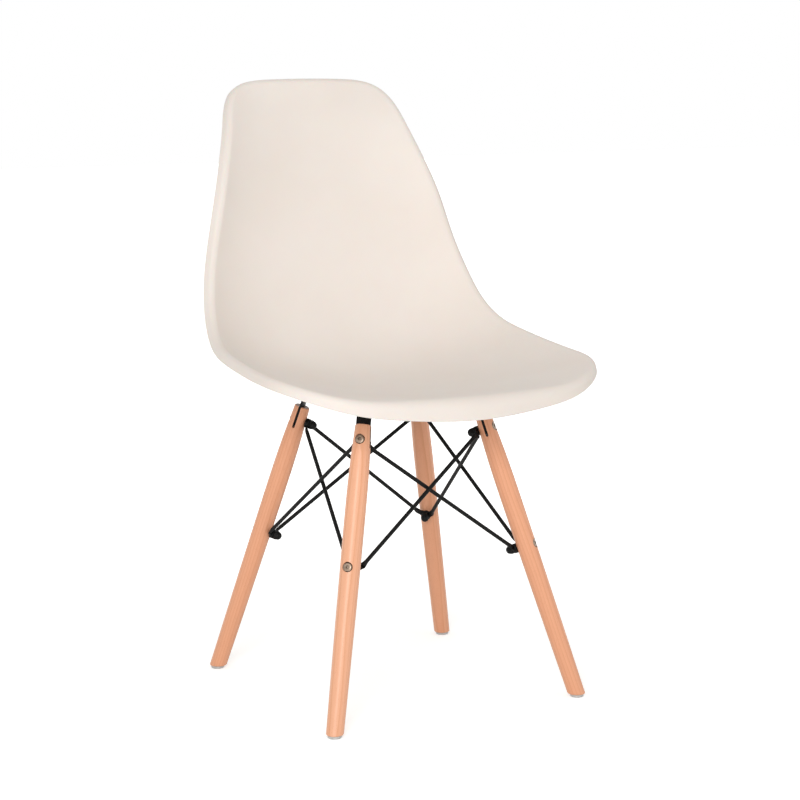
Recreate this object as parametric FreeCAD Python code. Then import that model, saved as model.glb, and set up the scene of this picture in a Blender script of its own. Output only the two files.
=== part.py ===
import FreeCAD, Part
import math
import os

os.makedirs("parts", exist_ok=True)

# Moulded side chair: plastic shell on four splayed dowel legs with crossed wire braces.
# Millimetres. The sitter faces -Y, +X is to the right seen from the front, the floor is z = 0.

# Seat shell
crest_width = 447.0
crest_depth = 455.0
crest_front_reach = 225.0
back_rise = 378.0
front_above_legs = 47.5
wall = 4.0
bowl_fullness = 0.35
side_lip_radius = 8.0
side_flange = 6.9
front_lip_radius = 16.7
front_flange = 16.5
side_lip_turn = 90.0
front_lip_turn = 75.0
front_lip_start = 0.765
crest_share = 0.93
grid_across = 25
grid_along = 31
slope_step = 0.001
edge_probe = 0.015

# Bosses, inserts and screws under the seat
boss_spread = 124.0
boss_diameter = 18.0
rib_reach = 15.0
rib_thickness = 3.0
rib_drop = 9.0
insert_diameter = 8.4
insert_length = 10.0
screw_end_play = 1.0
screw_diameter = 6.0
screw_head_diameter = 12.0
screw_head_height = 3.6
screw_socket = 4.0
washer_diameter = 14.0
washer_thickness = 1.2
pad_diameter = 17.0
pad_thickness = 2.0

# Mounting bars
bar_width = 19.5
bar_thickness = 2.5
bar_lift = 18.0
bar_bend_radius = 6.0
joggle_reach = 16.0
joggle_run = 12.0
tab_corner_radius = 4.0

# Legs
base_forward = 14.7
foot_spread = 358.0
top_spread = 175.4
leg_top_height = 371.0
leg_top_diameter = 20.6
leg_shoulder_diameter = 25.0
leg_shoulder_drop = 50.0
leg_waist_diameter = 26.4
leg_waist_drop = 140.0
leg_foot_diameter = 22.2
leg_top_chamfer = 1.0
leg_foot_chamfer = 1.8
leg_turned_steps = 6
slot_depth = 30.0
slot_play = 0.9

# Foot glides
glide_diameter = 18.0
glide_height = 4.0
glide_bevel = 1.3
glide_pin_diameter = 5.0
glide_pin_length = 12.0

# Leg bolts and cap nuts
upper_bolt_drop = 19.5
lower_bolt_drop = 182.0
bolt_diameter = 6.0
bolt_head_diameter = 12.0
bolt_head_height = 3.2
bolt_socket = 4.0
socket_depth = 2.2
head_bevel_share = 0.2
head_play = 0.6
counterbore_depth = 3.8
nut_width = 10.0
nut_height = 5.0
nut_dome_radius = 4.8
thread_reach = 7.0

# Braces
brace_diameter = 5.2
eye_diameter = 13.0
eye_thickness = 2.5
tang_width = 8.0
inner_tang_length = 7.9
outer_tang_length = 12.0
# Directions of the flat ends in degrees from square across the leg, positive towards its top
inner_upper_tang_slope = -49.0
outer_upper_tang_slope = -15.0
lower_tang_slope = 22.5
flare_length = 10.0

# Clearances
fit = 0.1
hole_play = 0.2

# Rim of the shell from the top centre round one side to the front centre,
# as shares of the half width, the depth and the rise
rim_shares = [
    (0.0, 1.0, 1.0), (0.295, 0.996, 0.997), (0.47, 0.979, 0.976), (0.536, 0.946, 0.923),
    (0.575, 0.912, 0.85), (0.641, 0.866, 0.724), (0.709, 0.831, 0.591), (0.776, 0.807, 0.446),
    (0.835, 0.772, 0.324), (0.888, 0.712, 0.209), (0.933, 0.635, 0.142), (0.974, 0.546, 0.111),
    (0.993, 0.42, 0.089), (1.0, 0.282, 0.073), (0.975, 0.164, 0.06), (0.861, 0.079, 0.036),
    (0.706, 0.032, 0.015), (0.379, 0.008, 0.002), (0.0, 0.0, 0.0)]

# Middle line of the shell from the top to the front, as shares of the depth and the rise
middle_shares = [
    (1.0, 1.0), (0.974, 0.854), (0.949, 0.723), (0.926, 0.587), (0.906, 0.446),
    (0.886, 0.326), (0.856, 0.211), (0.815, 0.119), (0.757, 0.051), (0.677, 0.005),
    (0.576, -0.02), (0.462, -0.028), (0.327, -0.028), (0.191, -0.017), (0.078, -0.004), (0.0, 0.0)]

# Derived sizes
front_height = leg_top_height + front_above_legs
crest_front_y = -crest_front_reach
base_centre_y = -base_forward
foot_radius = foot_spread / math.sqrt(2)
top_radius = top_spread / math.sqrt(2)
leg_length = math.hypot(foot_radius - top_radius, leg_top_height)
splay = math.atan2(foot_radius - top_radius, leg_top_height)
slot_width = bar_thickness + slot_play
bolt_hole_radius = bolt_diameter / 2 + hole_play
bar_height = leg_top_height + bar_lift
bar_bend_reach = top_radius - bar_lift * math.tan(splay)
boss_bottom = bar_height + bar_thickness / 2 + pad_thickness
corners = [("back_right", 45.0), ("back_left", 135.0), ("front_left", 225.0), ("front_right", 315.0)]
sides = ["back", "left", "front", "right"]


def vec(x, y, z):
    return FreeCAD.Vector(x, y, z)


def cylinder(radius, height, base, axis=vec(0, 0, 1)):
    return Part.makeCylinder(radius, height, base, axis)


def hexagon(width, height, base, axis=vec(0, 0, 1)):
    corner = width / math.sqrt(3)
    points = []
    for k in range(7):
        turn = math.radians(60 * k)
        points.append(vec(corner * math.cos(turn), corner * math.sin(turn), 0))
    prism = Part.Face(Part.makePolygon(points)).extrude(vec(0, 0, height))
    prism.Placement = FreeCAD.Placement(base, FreeCAD.Rotation(vec(0, 0, 1), axis))
    return prism


def save(name, shapes):
    if not isinstance(shapes, list):
        shapes = [shapes]
    shape = shapes[0] if len(shapes) == 1 else Part.makeCompound(shapes)
    shape.exportStep("parts/" + name + ".step")
    print(name, len(shape.Solids), round(shape.Volume / 1000.0, 2), "cm3", shape.isValid())


def spline(stations, values, flat_ends):
    """Cubic curve through the values, with flat or free ends."""
    last = len(stations) - 1
    steps = [b - a for a, b in zip(stations, stations[1:])]
    slopes = [(b - a) / h for a, b, h in zip(values, values[1:], steps)]
    lower = [0.0] * (last + 1)
    middle = [1.0] * (last + 1)
    upper = [0.0] * (last + 1)
    right = [0.0] * (last + 1)
    for i in range(1, last):
        lower[i] = steps[i - 1]
        middle[i] = 2 * (steps[i - 1] + steps[i])
        upper[i] = steps[i]
        right[i] = 6 * (slopes[i] - slopes[i - 1])
    if flat_ends:
        middle[0] = 2 * steps[0]
        upper[0] = steps[0]
        right[0] = 6 * slopes[0]
        lower[last] = steps[-1]
        middle[last] = 2 * steps[-1]
        right[last] = -6 * slopes[-1]
    for i in range(1, last + 1):
        factor = lower[i] / middle[i - 1]
        middle[i] -= factor * upper[i - 1]
        right[i] -= factor * right[i - 1]
    bend = [0.0] * (last + 1)
    bend[last] = right[last] / middle[last]
    for i in range(last - 1, -1, -1):
        bend[i] = (right[i] - upper[i] * bend[i + 1]) / middle[i]

    def at(t):
        t = min(max(t, stations[0]), stations[last])
        i = 0
        while i < last - 1 and t > stations[i + 1]:
            i += 1
        a = (stations[i + 1] - t) / steps[i]
        b = 1 - a
        curved = (a ** 3 - a) * bend[i] + (b ** 3 - b) * bend[i + 1]
        return a * values[i] + b * values[i + 1] + curved * steps[i] ** 2 / 6
    return at


def stations_of(points, total):
    run = [0.0]
    for p, q in zip(points, points[1:]):
        run.append(run[-1] + math.dist(p, q))
    return [r / run[-1] * total for r in run]


# Curves that drive the shell: the rim by angle, the middle line by distance from the top
rim_points = [(x * crest_width / 2, crest_front_y + y * crest_depth, front_height + z * back_rise)
              for x, y, z in rim_shares]
middle_points = [(crest_front_y + y * crest_depth, front_height + z * back_rise)
                 for y, z in middle_shares]
rim_stations = stations_of(rim_points, math.pi)
middle_stations = stations_of(middle_points, 2.0)
rim_x = spline(rim_stations, [p[0] for p in rim_points], False)
rim_y = spline(rim_stations, [p[1] for p in rim_points], True)
rim_z = spline(rim_stations, [p[2] for p in rim_points], True)
middle_y = spline(middle_stations, [p[0] for p in middle_points], False)
middle_z = spline(middle_stations, [p[1] for p in middle_points], False)


def rim(angle):
    turn = abs(angle)
    side = 1 if angle >= 0 else -1
    if turn > math.pi:
        turn = 2 * math.pi - turn
        side = -side
    return vec(side * rim_x(turn), rim_y(turn), rim_z(turn))


def bowl(across, along):
    """Point of the sitting surface for a point of the unit disc."""
    along = max(-1.0, min(1.0, along))
    chord = 1 - along * along
    y = middle_y(1 - along)
    z = middle_z(1 - along)
    if chord < 1e-9:
        return vec(0, y, z)
    turn = math.acos(along)
    share = across / math.sqrt(chord)
    quartic = bowl_fullness * chord
    rise = (1 - quartic) * share ** 2 + quartic * share ** 4
    return vec(rim_x(turn) * share, y + (rim_y(turn) - y) * rise, z + (rim_z(turn) - z) * rise)


def rim_frame(angle):
    """Crest point, direction off the edge of the sheet and direction to its underside."""
    crest = rim(angle)
    tangent = (rim(angle + slope_step) - rim(angle - slope_step)).normalize()
    near = 1 - edge_probe
    far = 1 - 2 * edge_probe
    off = (crest * 3 - bowl(near * math.sin(angle), near * math.cos(angle)) * 4
           + bowl(far * math.sin(angle), far * math.cos(angle)))
    off = (off - tangent * off.dot(tangent)).normalize()
    return crest, off, off.cross(tangent).normalize()


def lip(angle, share, depth):
    """Point of the rolled edge, at a depth below the outer skin."""
    crest, off, under = rim_frame(angle)
    blend = (abs(angle) / math.pi - front_lip_start) / (1 - front_lip_start)
    blend = min(1.0, max(0.0, blend))
    blend = blend * blend * (3 - 2 * blend)
    radius = side_lip_radius + (front_lip_radius - side_lip_radius) * blend
    turn = math.radians(side_lip_turn + (front_lip_turn - side_lip_turn) * blend)
    flange = side_flange + (front_flange - side_flange) * blend
    run = share * (radius * turn + flange)
    angle_here = min(run / radius, turn)
    straight = max(run - radius * turn, 0.0)
    ahead = (radius - depth) * math.sin(angle_here) + straight * math.cos(turn)
    down = radius - (radius - depth) * math.cos(angle_here) + straight * math.sin(turn)
    return crest + off * ahead + under * down


def shell_point(across, along, depth):
    reach = math.hypot(across, along)
    if reach > crest_share - slope_step:
        share = max(0.0, reach - crest_share) / (1 - crest_share)
        return lip(math.atan2(across, along), share, depth)
    across /= crest_share
    along /= crest_share
    by_across = bowl(across + slope_step, along) - bowl(across - slope_step, along)
    by_along = bowl(across, along + slope_step) - bowl(across, along - slope_step)
    return bowl(across, along) - by_across.cross(by_along).normalize() * depth


def shell_surface(depth):
    rows = []
    for i in range(grid_across):
        a = math.sin(math.pi * (i / (grid_across - 1) - 0.5))
        row = []
        for j in range(grid_along):
            b = math.sin(math.pi * (j / (grid_along - 1) - 0.5))
            across = a * math.sqrt(1 - b * b / 2)
            along = b * math.sqrt(1 - a * a / 2)
            row.append(shell_point(across, along, depth))
        rows.append(row)
    surface = Part.BSplineSurface()
    surface.interpolate(rows)
    return surface.toShape()


def seat_height_at(x, y):
    low, high = -0.95, 0.6
    for _ in range(40):
        along = (low + high) / 2
        turn = math.acos(along)
        share = x / rim_x(turn)
        point = bowl(share * math.sin(turn), along)
        if point.y < y:
            low = along
        else:
            high = along
    return point.z


def seat_shell():
    skin = shell_surface(0.0)
    underside = shell_surface(wall)
    faces = [skin, underside]
    for top_edge, low_edge in zip(skin.Edges, underside.Edges):
        faces.append(Part.makeRuledSurface(top_edge, low_edge))
    shell = Part.makeShell(faces)
    shell.sewShape()
    solid = Part.Solid(shell)
    if solid.Volume < 0:
        solid.reverse()
    return solid


def seat_boss_places():
    half = boss_spread / 2
    return [(x, base_centre_y + y) for x in (-half, half) for y in (-half, half)]


def boss_rib(x, y, turn):
    """Upright web from the middle of a boss outwards, its top inside the wall of the seat."""
    reach = boss_diameter / 2 + rib_reach
    end_top = seat_height_at(x + reach * math.cos(turn), y + reach * math.sin(turn)) - wall / 2
    foot = boss_bottom + rib_drop
    outline = [(0, foot), (boss_diameter / 2, foot), (reach, end_top - wall / 2), (reach, end_top),
               (0, seat_height_at(x, y) - wall / 2), (0, foot)]
    web = Part.Face(Part.makePolygon([vec(r, -rib_thickness / 2, z) for r, z in outline]))
    web = web.extrude(vec(0, rib_thickness, 0))
    web.Placement = FreeCAD.Placement(vec(x, y, 0), FreeCAD.Rotation(vec(0, 0, 1), math.degrees(turn)))
    return web


def seat_with_bosses():
    seat = seat_shell()
    for x, y in seat_boss_places():
        top = seat_height_at(x, y) - wall / 2
        boss = cylinder(boss_diameter / 2, top - boss_bottom, vec(x, y, boss_bottom))
        for k in range(4):
            boss = boss.fuse(boss_rib(x, y, math.pi / 2 * k))
        seat = seat.fuse(boss)
    for x, y in seat_boss_places():
        bore = cylinder(insert_diameter / 2 + fit, insert_length + hole_play, vec(x, y, boss_bottom))
        seat = seat.cut(bore)
    return seat.removeSplitter()


def ring(outer, inner, height, base):
    return cylinder(outer, height, base).cut(cylinder(inner, height, base))


def socket_screw(head_diameter, head_height, socket, diameter, length):
    """Screw along +Z: the head below z = 0, its socket underneath, the shank above."""
    head = cylinder(head_diameter / 2, head_height, vec(0, 0, -head_height))
    outer_edges = [e for e in head.Edges if e.BoundBox.ZMax < -head_height / 2]
    head = head.makeChamfer(head_height * head_bevel_share, outer_edges)
    head = head.fuse(cylinder(diameter / 2, length, vec(0, 0, 0)))
    return head.cut(hexagon(socket, socket_depth, vec(0, 0, -head_height)))


def seat_fixings():
    inserts, pads, washers, screws = [], [], [], []
    washer_bottom = bar_height - bar_thickness / 2 - washer_thickness
    reach = boss_bottom + insert_length - screw_end_play - washer_bottom
    clear = screw_diameter / 2 + hole_play
    for x, y in seat_boss_places():
        inserts.append(ring(insert_diameter / 2, screw_diameter / 2 + fit, insert_length,
                            vec(x, y, boss_bottom)))
        pads.append(ring(pad_diameter / 2, clear, pad_thickness,
                         vec(x, y, bar_height + bar_thickness / 2)))
        washers.append(ring(washer_diameter / 2, clear, washer_thickness, vec(x, y, washer_bottom)))
        screw = socket_screw(screw_head_diameter, screw_head_height, screw_socket, screw_diameter,
                             reach)
        screw.translate(vec(x, y, washer_bottom))
        screws.append(screw)
    return inserts, pads, washers, screws


def arc_path(points, radius):
    """Straight runs joined by tangent arcs."""
    edges = []
    start = points[0]
    for before, corner, after in zip(points, points[1:], points[2:]):
        back = (before - corner).normalize()
        ahead = (after - corner).normalize()
        half = back.getAngle(ahead) / 2
        first = corner + back * (radius / math.tan(half))
        last = corner + ahead * (radius / math.tan(half))
        middle = corner + (back + ahead).normalize() * (radius / math.sin(half) - radius)
        edges.append(Part.LineSegment(start, first).toShape())
        edges.append(Part.Arc(first, middle, last).toShape())
        start = last
    edges.append(Part.LineSegment(start, points[-1]).toShape())
    return Part.Wire(edges)


def mounting_bar(angle, joggled):
    """Flat bar through the middle, both ends bent down into the slots of two opposite legs."""
    tab_end = slot_depth - slot_width
    half = [vec(top_radius + tab_end * math.sin(splay), 0, leg_top_height - tab_end * math.cos(splay)),
            vec(bar_bend_reach, 0, bar_height)]
    if joggled:
        half.append(vec(joggle_reach + joggle_run, 0, bar_height))
        half.append(vec(joggle_reach, 0, bar_height - bar_thickness - fit))
    points = half + [vec(-p.x, 0, p.z) for p in reversed(half)]
    across = vec(0, bar_width / 2, 0)
    flat = (half[1] - half[0]).normalize().cross(vec(0, 1, 0)) * (bar_thickness / 2)
    corners_of_end = [across + flat, across - flat, vec(0, 0, 0) - across - flat, flat - across]
    section = Part.makePolygon([half[0] + c for c in corners_of_end + corners_of_end[:1]])
    bar = arc_path(points, bar_bend_radius).makePipeShell([section], True, False)
    ends = [e for e in bar.Edges if e.BoundBox.ZMax < half[0].z + bar_thickness
            and e.BoundBox.YLength < fit and e.Length < bar_thickness + fit]
    bar = bar.makeFillet(tab_corner_radius, ends)
    for side in (-1, 1):
        bar = bar.cut(cylinder(screw_diameter / 2 + hole_play, bar_thickness * 4,
                               vec(side * boss_spread / math.sqrt(2), 0, bar_height - bar_thickness * 2)))
        axis = vec(side * math.cos(splay), 0, math.sin(splay))
        bolt = vec(side * (top_radius + upper_bolt_drop * math.sin(splay)), 0,
                   leg_top_height - upper_bolt_drop * math.cos(splay))
        bar = bar.cut(cylinder(bolt_hole_radius, bar_thickness * 4, bolt - axis * bar_thickness * 2, axis))
    bar.Placement = FreeCAD.Placement(vec(0, base_centre_y, 0), FreeCAD.Rotation(vec(0, 0, 1), angle))
    return bar


leg_radius = spline([0.0, leg_shoulder_drop, leg_waist_drop, leg_length],
                    [leg_top_diameter / 2, leg_shoulder_diameter / 2, leg_waist_diameter / 2,
                     leg_foot_diameter / 2], False)


def leg_placement(angle):
    """Frame of a leg: foot on the floor, +X square to the leg and outwards, +Z along the leg."""
    tilt = FreeCAD.Rotation(vec(0, 1, 0), -math.degrees(splay))
    turn = FreeCAD.Rotation(vec(0, 0, 1), angle)
    foot = turn.multVec(vec(foot_radius, 0, 0)) + vec(0, base_centre_y, 0)
    return FreeCAD.Placement(foot, turn.multiply(tilt))


def placed(shape, angle):
    shape = shape.copy()
    shape.Placement = leg_placement(angle).multiply(shape.Placement)
    return shape


def counterbore_floor(drop):
    return leg_radius(drop) - counterbore_depth


def eye_seat(drop):
    """Distance from the leg's middle line to the flat side of the first brace eye."""
    reach = eye_diameter / 2
    return max(leg_radius(drop - reach), leg_radius(drop + reach)) + fit


def leg(angle):
    """Turned dowel with its slot, bolt holes and counterbores, cut level at the foot."""
    drops = [leg_length * k / leg_turned_steps for k in range(leg_turned_steps + 1)]
    side = [vec(leg_radius(d), 0, leg_length - d) for d in drops]
    below = -leg_foot_diameter / 2
    side.append(vec(leg_radius(leg_length), 0, below))
    outline = [vec(0, 0, leg_length)] + side + [vec(0, 0, below), vec(0, 0, leg_length)]
    dowel = Part.Face(Part.makePolygon(outline)).revolve(vec(0, 0, 0), vec(0, 0, 1), 360)
    rim_edges = [e for e in dowel.Edges if e.BoundBox.ZMin > leg_length - fit]
    dowel = dowel.makeChamfer(leg_top_chamfer, rim_edges)
    slot_floor = leg_length - slot_depth + slot_width / 2
    slot = Part.makeBox(slot_width, leg_waist_diameter * 2, slot_depth,
                        vec(-slot_width / 2, -leg_waist_diameter, slot_floor))
    slot = slot.fuse(cylinder(slot_width / 2, leg_waist_diameter * 2,
                              vec(0, -leg_waist_diameter, slot_floor), vec(0, 1, 0)))
    dowel = dowel.cut(slot)
    for drop in (upper_bolt_drop, lower_bolt_drop):
        start = vec(-leg_waist_diameter, 0, leg_length - drop)
        dowel = dowel.cut(cylinder(bolt_hole_radius, leg_waist_diameter * 2, start, vec(1, 0, 0)))
        floor = vec(counterbore_floor(drop), 0, leg_length - drop)
        dowel = dowel.cut(cylinder(bolt_head_diameter / 2 + head_play, leg_waist_diameter, floor,
                                   vec(1, 0, 0)))
    dowel = dowel.cut(cylinder(glide_pin_diameter / 2 + fit,
                               glide_pin_length + glide_height / math.cos(splay) + hole_play,
                               vec(0, 0, 0)))
    dowel = placed(dowel, angle)
    centre = leg_placement(angle).Base
    below = Part.makeBox(foot_spread, foot_spread, foot_spread,
                         centre + vec(-foot_spread / 2, -foot_spread / 2, glide_height - foot_spread))
    dowel = dowel.cut(below)
    level = [e for e in dowel.Edges if abs(e.BoundBox.ZMax - glide_height) < fit
             and e.BoundBox.DiagonalLength > leg_foot_diameter]
    return dowel.makeChamfer(leg_foot_chamfer, level)


def foot_glide(angle):
    """Flat pad under the foot, with a pin up into the leg."""
    centre = leg_placement(angle).multVec(vec(0, 0, glide_height / 2 / math.cos(splay)))
    disc = cylinder(glide_diameter / 2, glide_height, vec(centre.x, centre.y, 0))
    low = [e for e in disc.Edges if e.BoundBox.ZMax < fit]
    disc = disc.makeChamfer(glide_bevel, low)
    pin = cylinder(glide_pin_diameter / 2, glide_pin_length + glide_height / 2,
                   vec(0, 0, glide_height / 2))
    return disc.fuse(placed(pin, angle))


def leg_bolt(drop):
    """Socket-head bolt from the counterbore inwards, in the frame of its leg."""
    length = counterbore_floor(drop) + eye_seat(drop) + 2 * (eye_thickness + fit) + thread_reach
    bolt = socket_screw(bolt_head_diameter, bolt_head_height, bolt_socket, bolt_diameter, length)
    bolt.Placement = FreeCAD.Placement(vec(counterbore_floor(drop), 0, leg_length - drop),
                                       FreeCAD.Rotation(vec(0, 0, 1), vec(-1, 0, 0)))
    return bolt


def cap_nut(drop):
    """Hexagon nut with a closed dome, against the second brace eye."""
    nut = hexagon(nut_width, nut_height, vec(0, 0, 0))
    crown = cylinder(nut_width / math.sqrt(3), nut_height, vec(0, 0, 0))
    bevel = nut_width / math.sqrt(3) - nut_width / 2
    crown = crown.makeChamfer(bevel, [e for e in crown.Edges if e.BoundBox.ZLength < fit])
    nut = nut.common(crown)
    dome = Part.makeSphere(nut_dome_radius, vec(0, 0, nut_height - fit))
    nut = nut.fuse(dome.common(cylinder(nut_dome_radius, nut_dome_radius * 2, vec(0, 0, 0))))
    nut = nut.cut(cylinder(bolt_diameter / 2 + fit, thread_reach + hole_play, vec(0, 0, 0)))
    seat = eye_seat(drop) + 2 * (eye_thickness + fit)
    nut.Placement = FreeCAD.Placement(vec(-seat, 0, leg_length - drop),
                                      FreeCAD.Rotation(vec(0, 0, 1), vec(-1, 0, 0)))
    return nut


def flare(start, along, bend_line):
    """Run from the flat tang to the round rod."""
    up = along.cross(bend_line).normalize()
    side = up.cross(along).normalize()
    around = ((1, 1), (-1, 1), (-1, -1), (1, -1), (1, 1))
    flat = [start + side * (tang_width / 2 * a) + up * (eye_thickness / 2 * b) for a, b in around]
    end = start + along * flare_length
    half = brace_diameter / 2 / math.sqrt(2)
    square = [end + side * (half * a) + up * (half * b) for a, b in around]
    return Part.makeLoft([Part.makePolygon(flat), Part.makePolygon(square)], True, True)


def brace_end(centre, bolt, bend, along):
    """Drilled eye and flat tang as far as the bend, then the run to the round rod."""
    bend_line = bolt.cross(along).normalize()
    tang_side = bolt.cross(bend - centre).normalize()
    half = tang_width / 2
    outline = [centre + tang_side * half, bend + bend_line * half, bend - bend_line * half,
               centre - tang_side * half, centre + tang_side * half]
    tang = Part.Face(Part.makePolygon(outline)).extrude(bolt * eye_thickness)
    tang.translate(bolt * (-eye_thickness / 2))
    eye = cylinder(eye_diameter / 2, eye_thickness, centre - bolt * (eye_thickness / 2), bolt)
    hinge = cylinder(eye_thickness / 2, tang_width, bend - bend_line * half, bend_line)
    piece = eye.multiFuse([tang, hinge, flare(bend, along, bend_line)])
    hole = cylinder(bolt_hole_radius, eye_thickness * 2, centre - bolt * eye_thickness, bolt)
    return piece.cut(hole)


def brace(upper_angle, lower_angle, layer, tang_length, upper_slope):
    """Rod from the upper bolt of one leg to the lower bolt of the next, with flat drilled ends."""
    out = (layer - 0.5) * eye_thickness + (layer - 1) * fit
    ends = []
    for angle, other_angle, drop, slope in (
            (upper_angle, lower_angle, upper_bolt_drop, upper_slope),
            (lower_angle, upper_angle, lower_bolt_drop, lower_tang_slope)):
        frame = leg_placement(angle)
        centre = frame.multVec(vec(-eye_seat(drop) - out, 0, leg_length - drop))
        towards = math.sin(math.radians(other_angle - angle))
        reach = vec(0, towards * math.cos(math.radians(slope)), math.sin(math.radians(slope)))
        bend = centre + frame.Rotation.multVec(reach) * tang_length
        ends.append((centre, frame.Rotation.multVec(vec(-1, 0, 0)), bend))
    start, end = ends[0][2], ends[1][2]
    along = (end - start).normalize()
    length = (end - start).Length - 2 * flare_length
    rod = cylinder(brace_diameter / 2, length, start + along * flare_length, along)
    tips = [brace_end(*ends[0], along), brace_end(*ends[1], along * -1)]
    return rod.multiFuse(tips).removeSplitter()


save("seat_shell", seat_with_bosses())
inserts, pads, washers, screws = seat_fixings()
save("seat_inserts", inserts)
save("seat_pads", pads)
save("seat_washers", washers)
save("seat_screws", screws)
save("mounting_bar_plain", mounting_bar(45.0, False))
save("mounting_bar_joggled", mounting_bar(135.0, True))
for name, angle in corners:
    save("leg_" + name, leg(angle))
    save("foot_glide_" + name, foot_glide(angle))
for name, drop in (("upper", upper_bolt_drop), ("lower", lower_bolt_drop)):
    save("leg_bolts_" + name, [placed(leg_bolt(drop), angle) for _, angle in corners])
    save("cap_nuts_" + name, [placed(cap_nut(drop), angle) for _, angle in corners])
for k, side in enumerate(sides):
    first = corners[k][1]
    second = corners[(k + 1) % 4][1]
    save("brace_" + side + "_inner", brace(first, second, 2, inner_tang_length, inner_upper_tang_slope))
    save("brace_" + side + "_outer", brace(second, first, 1, outer_tang_length, outer_upper_tang_slope))
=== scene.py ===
import math

import bmesh
import bpy
import numpy as np
from mathutils import Matrix, Vector


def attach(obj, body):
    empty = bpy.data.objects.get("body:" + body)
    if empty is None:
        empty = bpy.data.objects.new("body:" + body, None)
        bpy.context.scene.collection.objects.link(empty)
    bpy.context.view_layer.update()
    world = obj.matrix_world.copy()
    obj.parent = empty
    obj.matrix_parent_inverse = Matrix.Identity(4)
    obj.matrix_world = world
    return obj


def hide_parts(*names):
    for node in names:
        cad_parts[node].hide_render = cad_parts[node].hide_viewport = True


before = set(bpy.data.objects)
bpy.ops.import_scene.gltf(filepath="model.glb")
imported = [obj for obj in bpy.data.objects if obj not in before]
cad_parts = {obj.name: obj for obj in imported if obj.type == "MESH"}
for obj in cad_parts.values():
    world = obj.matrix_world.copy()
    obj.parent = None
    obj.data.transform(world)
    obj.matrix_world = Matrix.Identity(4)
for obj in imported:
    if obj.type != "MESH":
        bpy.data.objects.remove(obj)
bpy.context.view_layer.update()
scene = bpy.context.scene
scene.view_settings.view_transform = "Standard"
print("frame loaded:", len(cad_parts), "nodes")


# Camera, at the viewing angle of the photograph
cameraSettings = {
    "azimuth": -28.37,        # degrees, negative looks from the chair's front left
    "elevation": 8.98,
    "roll": -0.33,
    "distance": 2.8133,
    "target": (0.0, -0.0147, 0.3843),
    "lens": 95.88,
    "sensor": 36.0,
    "shift": (0.01095, -0.0002),
}


def addCamera(c):
    azimuth = math.radians(c["azimuth"])
    elevation = math.radians(c["elevation"])
    roll = math.radians(c["roll"])
    back = Vector((math.sin(azimuth) * math.cos(elevation),
                   -math.cos(azimuth) * math.cos(elevation), math.sin(elevation)))
    right = Vector((math.cos(azimuth), math.sin(azimuth), 0))
    up = back.cross(right)
    axes = [right * math.cos(roll) + up * math.sin(roll),
            up * math.cos(roll) - right * math.sin(roll), back]
    data = bpy.data.cameras.new("camera")
    data.lens = c["lens"]
    data.sensor_width = c["sensor"]
    data.shift_x, data.shift_y = c["shift"]
    camera = bpy.data.objects.new("camera", data)
    scene.collection.objects.link(camera)
    turn = Matrix(axes).transposed().to_4x4()
    camera.matrix_world = Matrix.Translation(Vector(c["target"]) + back * c["distance"]) @ turn
    scene.camera = camera


addCamera(cameraSettings)
print("camera placed")


# Small helpers for node trees
def addNode(tree, kind, inputs=None, **settings):
    made = tree.nodes.new(kind)
    for name, value in settings.items():
        setattr(made, name, value)
    for name, value in (inputs or {}).items():
        if isinstance(value, bpy.types.NodeSocket):
            tree.links.new(value, made.inputs[name])
        else:
            made.inputs[name].default_value = value
    return made


def newMaterial(name, **constants):
    material = bpy.data.materials.new(name)
    material.use_nodes = True
    tree = material.node_tree
    shader = tree.nodes["Principled BSDF"]
    for socket, value in constants.items():
        shader.inputs[socket.replace("_", " ")].default_value = value
    return material, tree, shader


def scalarMath(tree, operation, *values):
    return addNode(tree, "ShaderNodeMath", dict(enumerate(values)), operation=operation).outputs[0]


def vectorMath(tree, operation, *values):
    return addNode(tree, "ShaderNodeVectorMath", dict(enumerate(values)), operation=operation).outputs


def objectPoint(tree, scale=(1, 1, 1), offset=None):
    place = addNode(tree, "ShaderNodeTexCoord").outputs["Object"]
    if offset is not None:
        place = vectorMath(tree, "ADD", place, offset)[0]
    mapping = addNode(tree, "ShaderNodeMapping", {"Vector": place, "Scale": scale})
    return mapping.outputs["Vector"]


def noise(tree, point, scale, detail=3.0, roughness=0.5):
    inputs = {"Vector": point, "Scale": scale, "Detail": detail, "Roughness": roughness}
    return addNode(tree, "ShaderNodeTexNoise", inputs).outputs["Fac"]


def spread(tree, value, low, high, fromLow=0.0, fromHigh=1.0):
    inputs = {"Value": value, "From Min": fromLow, "From Max": fromHigh, "To Min": low, "To Max": high}
    return addNode(tree, "ShaderNodeMapRange", inputs).outputs["Result"]


def ramp(tree, value, stops):
    made = addNode(tree, "ShaderNodeValToRGB", {"Fac": value})
    elements = made.color_ramp.elements
    while len(elements) < len(stops):
        elements.new(0.5)
    for element, (place, color) in zip(elements, stops):
        element.position = place
        element.color = (*color, 1.0)
    return made.outputs["Color"]


def mixColor(tree, share, first, second, blend="MIX"):
    made = addNode(tree, "ShaderNodeMix", {"Factor": share}, data_type="RGBA", blend_type=blend)
    for socket, value in ((made.inputs[6], first), (made.inputs[7], second)):
        if isinstance(value, bpy.types.NodeSocket):
            tree.links.new(value, socket)
        else:
            socket.default_value = (*value, 1.0)
    return made.outputs[2]


def bump(tree, shader, height, distance, strength=1.0):
    made = addNode(tree, "ShaderNodeBump", {"Height": height, "Distance": distance, "Strength": strength})
    tree.links.new(made.outputs["Normal"], shader.inputs["Normal"])


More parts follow.
